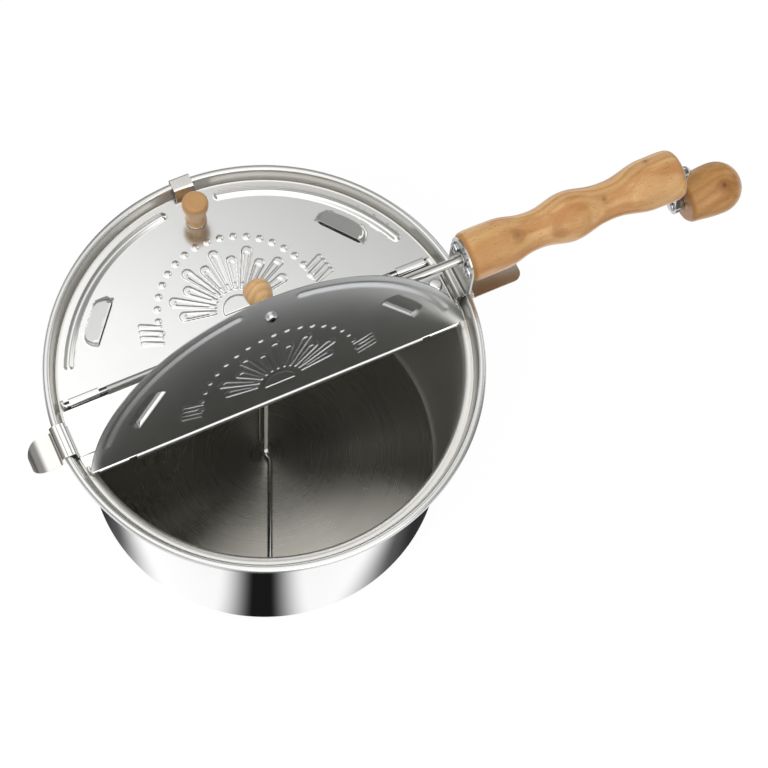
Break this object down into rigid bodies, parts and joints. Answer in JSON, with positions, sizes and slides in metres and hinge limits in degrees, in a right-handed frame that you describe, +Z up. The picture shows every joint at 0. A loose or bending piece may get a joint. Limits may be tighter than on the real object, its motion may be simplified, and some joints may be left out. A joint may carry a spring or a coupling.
{
  "type": "stovetop popcorn popper",
  "caption": "Thin steel stovetop pot with hinged half lids on a crossbar, a turned wooden handle and a crank that drives a stirring wire through mitre gears.",
  "frame": {"origin": "middle of the pot's base, on the surface it stands on", "axes": "+X along the handle towards the crank, +Y towards the rear lid, +Z up; the front lid stands open and the crank's arm hangs down"},
  "size_m": [0.4496, 0.2493, 0.2351],
  "materials": {
    "pot_steel": "polished outside, satin inside",
    "lid_steel": "bright rolled sheet",
    "bright_steel": "bright plated sheet",
    "spring_steel": "fine brushed",
    "wire_steel": "bright drawn wire",
    "screw_steel": "zinc plated",
    "gear_steel": "sintered and oiled",
    "rivet_aluminium": "satin",
    "brass": "turned",
    "handle_wood": "honey stain under satin lacquer",
    "knob_wood": "pale, satin lacquer",
    "crank_wood": "honey stain under satin lacquer"
  },
  "bodies": {
    "pot": {"pot": "pot_steel"},
    "lid_assembly": {"crossbar": "bright_steel", "front_hinge_pin": "wire_steel", "left_clip_foot": "spring_steel", "right_clip_foot": "spring_steel", "clip_rivets": "rivet_aluminium", "handle_bracket": "bright_steel", "handle": "handle_wood", "handle_screws": "screw_steel", "handle_inner_bush": "gear_steel", "handle_outer_bush": "brass", "gear_bracket": "bright_steel", "gear_bracket_rivets": "rivet_aluminium", "bracket_bushes": "brass", "shaft_bush": "brass"},
    "front_lid": {"front_lid": "lid_steel", "front_knob": "knob_wood", "front_knob_screw": "screw_steel"},
    "rear_lid": {"rear_lid": "lid_steel", "rear_knob": "knob_wood", "rear_knob_screw": "screw_steel", "lid_latch": "spring_steel", "rear_hinge_pin": "wire_steel"},
    "left_clip": {"left_clip": "spring_steel"},
    "right_clip": {"right_clip": "spring_steel"},
    "crank": {"crank_rod": "wire_steel", "drive_gear": "gear_steel", "drive_gear_screw": "screw_steel", "rod_end_ring": "screw_steel", "knob_axle": "wire_steel", "knob_snap_ring": "screw_steel"},
    "crank_knob": {"crank_knob": "crank_wood", "knob_sleeve": "brass"},
    "stirrer": {"stirrer_shaft": "wire_steel", "stirrer_wire": "wire_steel", "driven_gear": "gear_steel", "driven_gear_screw": "screw_steel", "shaft_ring": "screw_steel"}
  },
  "joints": [
    {"name": "lid_assembly_lift", "type": "slide", "parent": "pot", "child": "lid_assembly", "axis": [0, 0, 1], "range_m": [0, 0.2]},
    {"name": "front_lid_hinge", "type": "hinge", "parent": "lid_assembly", "child": "front_lid", "pos_m": [0, -0.021, 0.1415], "axis": [1, 0, 0], "range_deg": [0, 101.5]},
    {"name": "rear_lid_hinge", "type": "hinge", "parent": "lid_assembly", "child": "rear_lid", "pos_m": [0, 0.021, 0.1415], "axis": [1, 0, 0], "range_deg": [0, 68]},
    {"name": "left_clip_flex", "type": "hinge", "parent": "lid_assembly", "child": "left_clip", "pos_m": [-0.12146, 0, 0.1486], "axis": [0, 1, 0], "range_deg": [0, 8], "stiffness_Nm_per_rad": 1.5},
    {"name": "right_clip_flex", "type": "hinge", "parent": "lid_assembly", "child": "right_clip", "pos_m": [0.12146, 0, 0.1486], "axis": [0, -1, 0], "range_deg": [0, 8], "stiffness_Nm_per_rad": 1.5},
    {"name": "crank_turn", "type": "hinge", "parent": "lid_assembly", "child": "crank", "pos_m": [0, 0, 0.1775], "axis": [1, 0, 0], "continuous": true},
    {"name": "crank_knob_turn", "type": "hinge", "parent": "crank", "child": "crank_knob", "pos_m": [0.28, 0, 0.132], "axis": [1, 0, 0], "continuous": true},
    {"name": "stirrer_turn", "type": "hinge", "parent": "lid_assembly", "child": "stirrer", "pos_m": [0, 0, 0.09], "axis": [0, 0, 1], "continuous": true}
  ],
  "couplings": [
    {"joint": "stirrer_turn", "follows": "crank_turn", "ratio": 1}
  ]
}
